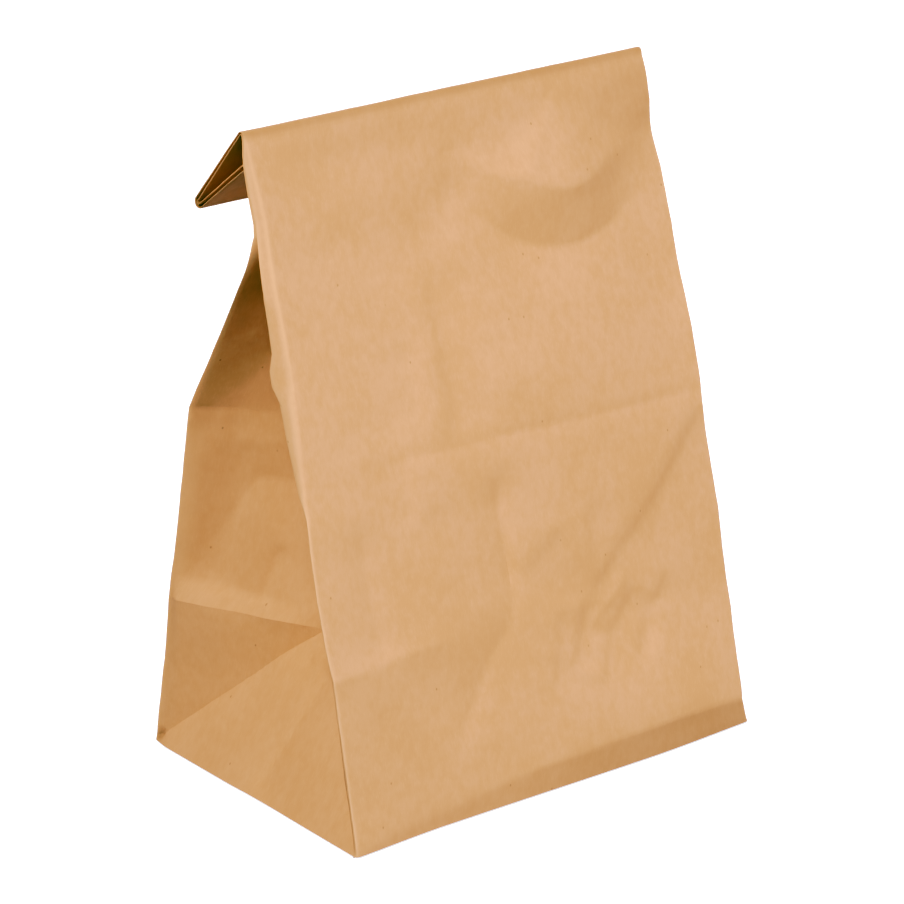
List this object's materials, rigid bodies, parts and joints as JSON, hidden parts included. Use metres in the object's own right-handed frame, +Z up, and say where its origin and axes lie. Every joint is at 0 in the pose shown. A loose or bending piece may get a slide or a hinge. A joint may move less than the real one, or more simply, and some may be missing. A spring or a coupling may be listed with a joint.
{
  "type": "paper lunch bag",
  "caption": "Brown kraft paper lunch bag, standing on its opened block bottom, with folded-in side gussets and its top rolled over to the back.",
  "frame": {"origin": "middle of the base, on the surface that the bag stands on", "axes": "+Z up, +X to the right along the front panel, +Y from the front panel to the back panel"},
  "size_m": [0.132, 0.084, 0.1758],
  "materials": {
    "kraft_paper": "matt"
  },
  "bodies": {
    "root": {"paper_bag": "kraft_paper"}
  },
  "joints": []
}
